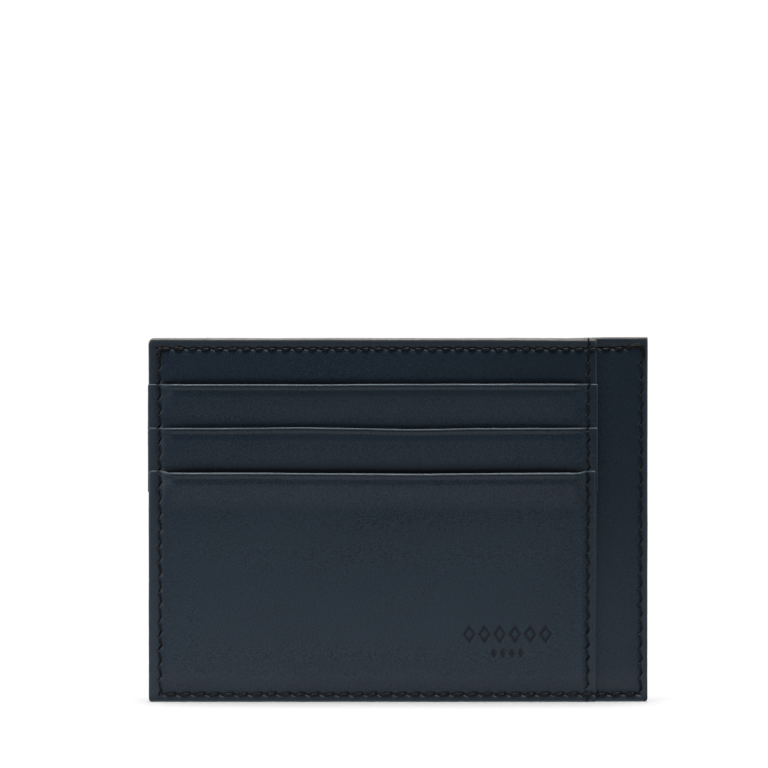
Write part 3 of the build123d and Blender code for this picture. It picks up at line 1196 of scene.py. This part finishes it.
def textile_meshes():
    """Meshes of the pocket lining and the two slot tails, by CAD node name without its side."""
    outline = (LEFT + LINING_SHY, RIGHT - LINING_SHY, BOTTOM + LINING_SHY, TOP - 0.5)
    meshes = {"pocket_lining": sheet_mesh(
        "pocket_lining", outline, (0.3,) * 4, LINING_DEPTH, lining_body,
        zones_x=[(LEFT, RIGHT, LINING_STEP)], zones_z=[(BOTTOM, TOP, LINING_STEP)])}
    for name, body in (("slot1_tail", tail_1_body), ("slot2_tail", tail_2_body)):
        outline = (*cad_range(name, X), *cad_range(name, Z))
        meshes[name] = sheet_mesh(name, outline, (0.5,) * 4, TAIL_THICKNESS, body, wave=0.1)
    return meshes


def leather_meshes(side):
    """Meshes of the leather sheets of one half, by CAD node name without its side."""
    return {
        "base_panel": base_panel(side),
        "block_backing": block_backing(side),
        "slot1_strip": slot_strip("slot1_strip", side, STRIP_1_BOTTOM, MOUTH_1, 0.3, strip_1_body,
                                  45, MOUTH_1_LINE, (MOUTH_2, 0.6)),
        "slot2_strip": slot_strip("slot2_strip", side, STRIP_2_BOTTOM, MOUTH_2, 0.5, strip_2_body,
                                  47, MOUTH_2_LINE, (MOUTH_3, 3.2)),
        "lower_pocket": lower_pocket(side),
    }


def thread_meshes(side):
    """Meshes of the three visible threads and the two hidden ones, in the same way."""
    perimeter = [pair for seam in PERIMETER for pair in seam.stitches()] + tack(*SIDE_TACK, 61)
    top = TOP_SEAM.stitches() + backtack(TOP_SEAM, 0, 2, 0.12, 63) + tack(*TOP_TACK, 65)
    top += backtack(TOP_SEAM, len(TOP_SEAM.slits) - 2, 1, 0.16, 64)
    wrap = edge_wrap(DIVIDER_ROW[0][0], side)
    return {
        "perimeter_thread": thread_mesh("perimeter_thread", perimeter, (), 81),
        "top_seam_thread": thread_mesh("top_seam_thread", top, corner_strands(), 82),
        "divider_seam_thread": thread_mesh("divider_seam_thread", DIVIDER.stitches(), [wrap], 83),
        "slot1_tail_thread": tail_thread("slot1_tail", tail_1_body),
        "slot2_tail_thread": tail_thread("slot2_tail", tail_2_body),
    }


def place_piece(name, mesh, side, material):
    """Put a mesh into one half as the piece that stands for the CAD node of that name."""
    piece = bpy.data.objects.new(f"{side}_{name}_piece", mesh)
    bpy.context.scene.collection.objects.link(piece)
    if side == "back":
        piece.rotation_euler = (0, 0, math.pi)
    if not mesh.materials:
        mesh.materials.append(material)
    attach(piece, "root")
    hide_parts(f"{side}_{name}")
    return piece


def build_holder():
    """Every piece of both halves. The textile meshes are shared by the two."""
    leather, textile, thread = leather_material(), textile_material(), thread_material()
    cloths = textile_meshes()
    for side in SIDES:
        for name, mesh in leather_meshes(side).items():
            place_piece(name, mesh, side, leather)
        for name, mesh in thread_meshes(side).items():
            place_piece(name, mesh, side, thread)
        for name, mesh in cloths.items():
            piece = place_piece(name, mesh, side, textile)


# ---- camera, floor and light

LENS = 800.0
SENSOR = 36.0
FRAME_PIXELS = 768
PIXELS_PER_MM = 4.843
CAMERA_ELEVATION = math.radians(2.9)
AIM_RIGHT = -2.915
AIM_ABOVE = 28.12

# Light from one side: none at the first share of that direction, all of it from the second
LIGHT_BELOW = (0.1, 0.8, 0.57)
LIGHT_BEHIND = (0.8, 0.97, 1.8)

AREA_LIGHTS = (     # name, place, target and size in metres, power in watts
    ("low_card", (0.0, -0.07, 0.001), (0.006, 0, 0.02), (0.16, 0.04), 0.0190),
    ("left_box", (-0.45, -0.12, 0.10), (0, 0, 0.03), (0.25, 0.25), 0.6),
    ("right_box", (0.45, -0.12, 0.10), (0, 0, 0.03), (0.25, 0.25), 0.25),
)


def add_object(name, data):
    item = bpy.data.objects.new(name, data)
    bpy.context.scene.collection.objects.link(item)
    return item


def aim(item, direction):
    """Turn a camera or a lamp to look along a direction, with its top up."""
    item.rotation_mode = "QUATERNION"
    item.rotation_quaternion = direction.to_track_quat("-Z", "Y")


def make_camera():
    """A long lens, a little above level and aimed above the holder."""
    data = bpy.data.cameras.new("camera")
    data.lens = LENS
    data.sensor_width = SENSOR
    data.clip_start, data.clip_end = (0.05, 50)
    camera = add_object("camera", data)
    distance = LENS / SENSOR * FRAME_PIXELS / PIXELS_PER_MM * MM
    back = Vector((0, -math.cos(CAMERA_ELEVATION), math.sin(CAMERA_ELEVATION)))
    up = Vector((0, math.sin(CAMERA_ELEVATION), math.cos(CAMERA_ELEVATION)))
    centre = Vector((0, 0, (BOTTOM + TOP) / 2 * MM))
    target = centre + Vector((AIM_RIGHT * MM, 0, 0)) + up * (AIM_ABOVE * MM)
    camera.location = target + back * distance
    aim(camera, -back)
    bpy.context.scene.camera = camera


def make_floor():
    """A plain white floor that takes the contact shadow."""
    mesh = bpy.data.meshes.new("floor")
    reach = 12.0
    mesh.from_pydata([(-reach, -reach, 0), (reach, -reach, 0), (reach, reach, 0),
                      (-reach, reach, 0)], [], [(0, 1, 2, 3)])
    floor = add_object("floor", mesh)
    material, tree, shader = new_material("floor_white")
    set_inputs(tree, shader, {
        "Base Color": (0.65, 0.65, 0.65, 1), "Roughness": 0.9, "Specular IOR Level": 0.0,
        "Emission Color": (1, 1, 1, 1), "Emission Strength": 0.08})
    mesh.materials.append(material)
    floor.visible_diffuse = False
    floor.visible_glossy = False


def make_world():
    """White where the camera sees it. The light it gives comes from below and from behind."""
    world = bpy.data.worlds.new("studio")
    bpy.context.scene.world = world
    world.use_nodes = True
    tree = world.node_tree
    tree.nodes.clear()
    direction = tree.nodes.new("ShaderNodeSeparateXYZ")
    tree.links.new(add_place(tree, "Generated"), direction.inputs["Vector"])
    downward = add_maths(tree, "MULTIPLY", direction.outputs["Z"], -1.0)
    glows = [add_range(tree, toward, low, high, 0.0, strength, interpolation_type="SMOOTHSTEP")
             for toward, (low, high, strength) in ((downward, LIGHT_BELOW),
                                                   (direction.outputs["Y"], LIGHT_BEHIND))]
    strength = add_maths(tree, "ADD", *glows)
    given = add_node(tree, "Background", "Background",
                     {"Color": (0.94, 0.98, 1.0, 1), "Strength": strength})
    seen = add_node(tree, "Background", "Background",
                    {"Color": (1, 1, 1, 1), "Strength": 1.05})
    by_camera = add_node(tree, "LightPath", "Is Camera Ray", {})
    mix = add_node(tree, "MixShader", "Shader", {"Fac": by_camera, 1: given, 2: seen})
    output = tree.nodes.new("ShaderNodeOutputWorld")
    tree.links.new(mix, output.inputs["Surface"])


def add_area(name, place, target, size, power):
    """A soft rectangular light, hidden from the camera."""
    data = bpy.data.lights.new(name, "AREA")
    data.shape = "RECTANGLE"
    data.size, data.size_y = size
    data.energy = power
    lamp = add_object(name, data)
    lamp.location = place
    aim(lamp, Vector(target) - Vector(place))
    lamp.visible_camera = False


def make_lights():
    """The main light, broad and straight above, and three soft ones in front and beside."""
    data = bpy.data.lights.new("overhead", "SUN")
    data.energy = 4.6
    data.angle = math.radians(50)
    add_object("overhead", data)
    for light in AREA_LIGHTS:
        add_area(*light)


def set_view():
    """Plain colours, with no film look."""
    settings = bpy.context.scene.view_settings
    settings.view_transform = "Standard"
    settings.look = "None"


make_camera()
make_world()
make_floor()
make_lights()
set_view()
build_holder()
